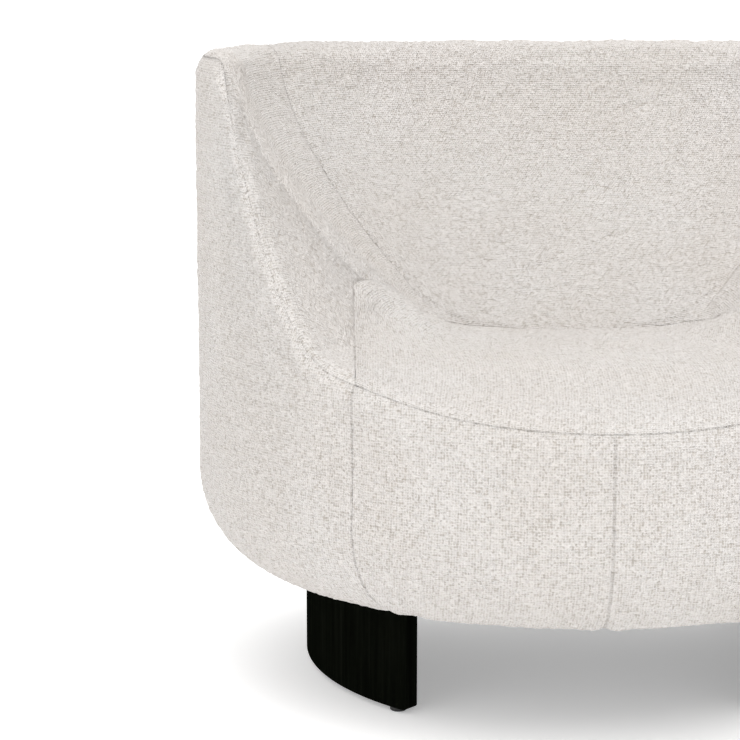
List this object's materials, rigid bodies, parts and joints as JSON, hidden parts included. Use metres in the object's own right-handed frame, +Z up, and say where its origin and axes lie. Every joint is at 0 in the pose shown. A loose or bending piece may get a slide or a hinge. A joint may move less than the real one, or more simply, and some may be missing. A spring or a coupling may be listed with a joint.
{
  "type": "sofa",
  "caption": "Compact tub sofa in cream boucle, with a barrel body whose arms sweep up from the seat into a level back, on curved black wooden side legs.",
  "frame": {"origin": "on the floor, under the middle of the bounding box", "axes": "+Z up, -Y towards the front of the seat, +X towards the right arm as seen from the front, length along X"},
  "size_m": [0.916, 0.825, 0.7701],
  "materials": {
    "boucle": "cream looped boucle",
    "foam": "cut upholstery foam",
    "felt": "pressed felt pad",
    "webbing": "woven elastic webbing",
    "dust_cloth": "thin non-woven cloth",
    "frame_wood": "raw birch plywood",
    "fibreboard": "raw fibreboard",
    "leg_wood": "black stained open grain, satin",
    "steel": "zinc plated",
    "glide_plastic": "matt"
  },
  "bodies": {
    "root": {"base_panel": "frame_wood", "seat_posts": "frame_wood", "front_seat_rail": "frame_wood", "rear_seat_rail": "frame_wood", "left_seat_rail": "frame_wood", "right_seat_rail": "frame_wood", "corner_blocks": "frame_wood", "seat_springs": "steel", "spring_clips": "steel", "seat_platform": "felt", "back_ribs": "frame_wood", "left_arm_ribs": "frame_wood", "right_arm_ribs": "frame_wood", "back_top_rail": "frame_wood", "left_top_rail": "frame_wood", "right_top_rail": "frame_wood", "front_board": "frame_wood", "left_side_board": "fibreboard", "right_side_board": "fibreboard", "outer_back_board": "fibreboard", "back_webbing": "webbing", "seat_foam": "foam", "inside_back_foam": "foam", "left_arm_foam": "foam", "right_arm_foam": "foam", "back_edge_roll": "foam", "left_edge_roll": "foam", "right_edge_roll": "foam", "front_padding": "foam", "left_side_padding": "foam", "right_side_padding": "foam", "outer_back_padding": "foam", "seat_cover": "boucle", "inside_back_cover": "boucle", "left_arm_cover": "boucle", "right_arm_cover": "boucle", "front_left_cover": "boucle", "front_right_cover": "boucle", "left_side_cover": "boucle", "right_side_cover": "boucle", "outer_back_cover": "boucle", "dust_cover": "dust_cloth", "left_leg": "leg_wood", "right_leg": "leg_wood", "leg_inserts": "steel", "leg_bolts": "steel", "leg_glides": "glide_plastic"}
  },
  "joints": []
}
